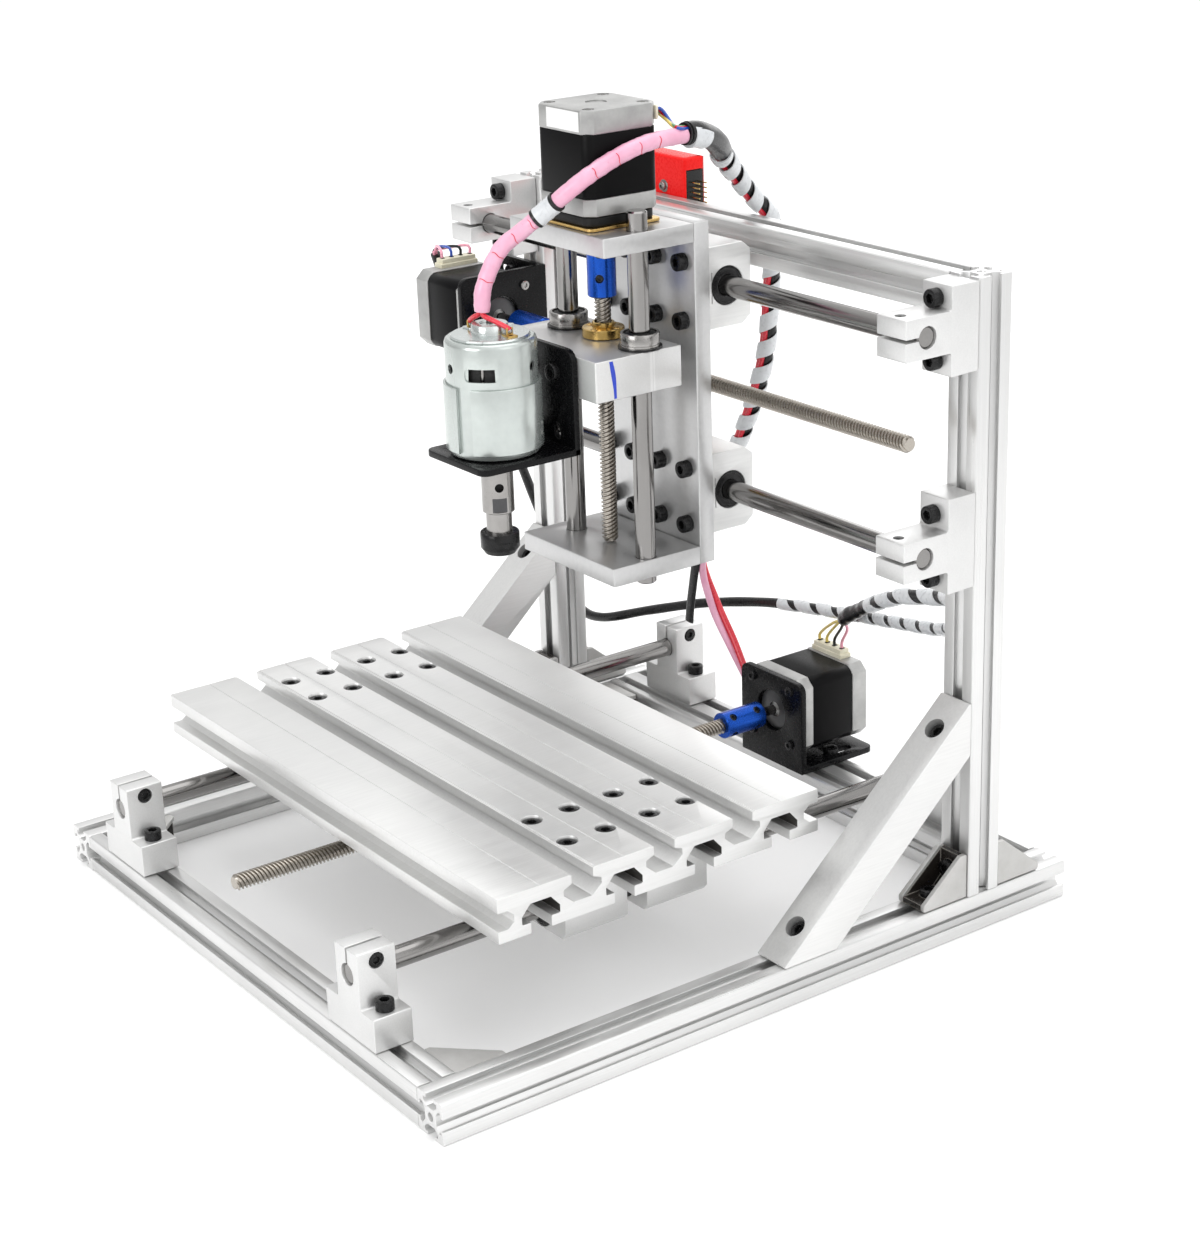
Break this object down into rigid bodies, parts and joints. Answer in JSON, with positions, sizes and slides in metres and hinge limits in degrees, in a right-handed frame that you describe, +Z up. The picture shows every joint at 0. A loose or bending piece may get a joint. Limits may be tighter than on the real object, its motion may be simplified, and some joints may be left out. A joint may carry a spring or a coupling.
{
  "type": "cnc router",
  "caption": "Desktop three-axis router: slotted extrusion frame, moving table, gantry on ground rods with lead screws, stepper motors and a collet spindle.",
  "frame": {"origin": "centre of the machine's box without its cables, on the plane it stands on", "axes": "+Z up, -Y towards the operator (the table's front end), +X to the operator's right, away from the x motor"},
  "size_m": [0.4058, 0.382, 0.39],
  "materials": {
    "anodised_extrusion": "clear anodised extrusion with fine lines along its length",
    "machined_aluminium": "fine milled and bead blasted, clear anodised",
    "table_aluminium": "satin anodised extrusion",
    "cast_bracket": "die cast, slightly rough",
    "ground_rod": "ground and hard chromed",
    "screw_steel": "rolled stainless thread",
    "chuck_steel": "turned, with a darkened clamping nut",
    "plated_can": "zinc plated motor can, pale green grey",
    "motor_black": "black laminated body between grey die-cast ends",
    "black_sheet": "black gloss powder coat",
    "black_plastic": "moulded",
    "red_plastic": "glossy red case",
    "brass": "turned",
    "cable_sleeve": "sleeved wires with a spiral wrap"
  },
  "bodies": {
    "frame": {"brace_left": "machined_aluminium", "brace_right": "machined_aluminium", "cable_clip": "black_plastic", "carriage_cable": "cable_sleeve", "control_box": "red_plastic", "front_beam": "anodised_extrusion", "post_bracket_front_left": "cast_bracket", "post_bracket_front_right": "cast_bracket", "post_bracket_rear_left": "cast_bracket", "post_bracket_rear_right": "cast_bracket", "post_left": "anodised_extrusion", "post_right": "anodised_extrusion", "rear_beam": "anodised_extrusion", "side_beam_left": "anodised_extrusion", "side_beam_right": "anodised_extrusion", "top_beam": "anodised_extrusion", "x_motor": "motor_black", "x_motor_bracket": "black_sheet", "x_motor_cable": "cable_sleeve", "x_rod_lower": "ground_rod", "x_rod_support_lower_left": "machined_aluminium", "x_rod_support_lower_right": "machined_aluminium", "x_rod_support_upper_left": "machined_aluminium", "x_rod_support_upper_right": "machined_aluminium", "x_rod_upper": "ground_rod", "y_motor": "motor_black", "y_motor_bracket": "black_sheet", "y_motor_cable": "cable_sleeve", "y_rod_left": "ground_rod", "y_rod_right": "ground_rod", "y_rod_support_front_left": "machined_aluminium", "y_rod_support_front_right": "machined_aluminium", "y_rod_support_rear_left": "machined_aluminium", "y_rod_support_rear_right": "machined_aluminium"},
    "table": {"table": "table_aluminium", "y_nut": "brass", "table_bearing_block_front_left": "machined_aluminium", "table_bearing_block_front_right": "machined_aluminium", "table_bearing_block_rear_left": "machined_aluminium", "table_bearing_block_rear_right": "machined_aluminium"},
    "y_screw": {"y_lead_screw": "screw_steel"},
    "x_carriage": {"z_back_plate": "machined_aluminium", "z_top_plate": "machined_aluminium", "z_bottom_plate": "machined_aluminium", "x_nut": "brass", "z_rod_left": "ground_rod", "z_rod_right": "ground_rod", "z_motor": "motor_black", "x_bearing_block_lower_left": "machined_aluminium", "x_bearing_block_lower_right": "machined_aluminium", "x_bearing_block_upper_left": "machined_aluminium", "x_bearing_block_upper_right": "machined_aluminium"},
    "x_screw": {"x_lead_screw": "screw_steel"},
    "z_carriage": {"z_carriage_block": "machined_aluminium", "z_nut": "brass", "spindle_bracket": "black_sheet", "spindle_motor": "plated_can", "spindle_cable": "cable_sleeve"},
    "z_screw": {"z_lead_screw": "screw_steel"},
    "chuck": {"collet_chuck": "chuck_steel"}
  },
  "joints": [
    {"name": "y_slide", "type": "slide", "parent": "frame", "child": "table", "axis": [0, 1, 0], "range_m": [-0.08, 0.095]},
    {"name": "x_slide", "type": "slide", "parent": "frame", "child": "x_carriage", "axis": [1, 0, 0], "range_m": [-0.112, 0.112], "deforming": ["carriage_cable"]},
    {"name": "z_slide", "type": "slide", "parent": "x_carriage", "child": "z_carriage", "axis": [0, 0, 1], "range_m": [-0.08, 0.0115], "deforming": ["spindle_cable"]},
    {"name": "y_screw_turn", "type": "hinge", "parent": "frame", "child": "y_screw", "pos_m": [0.00915, 0.009, 0.0503], "axis": [0, 1, 0], "continuous": true},
    {"name": "x_screw_turn", "type": "hinge", "parent": "frame", "child": "x_screw", "pos_m": [0.01515, 0.078, 0.25], "axis": [1, 0, 0], "continuous": true},
    {"name": "z_screw_turn", "type": "hinge", "parent": "x_carriage", "child": "z_screw", "pos_m": [0.02145, 0.0286, 0.25], "axis": [0, 0, 1], "continuous": true},
    {"name": "spindle_turn", "type": "hinge", "parent": "z_carriage", "child": "chuck", "pos_m": [0.02135, -0.036, 0.2], "axis": [0, 0, 1], "continuous": true}
  ],
  "couplings": [
    {"joint": "y_screw_turn", "follows": "y_slide", "rad_per_m": -785.4},
    {"joint": "x_screw_turn", "follows": "x_slide", "rad_per_m": -785.4},
    {"joint": "z_screw_turn", "follows": "z_slide", "rad_per_m": -785.4}
  ]
}
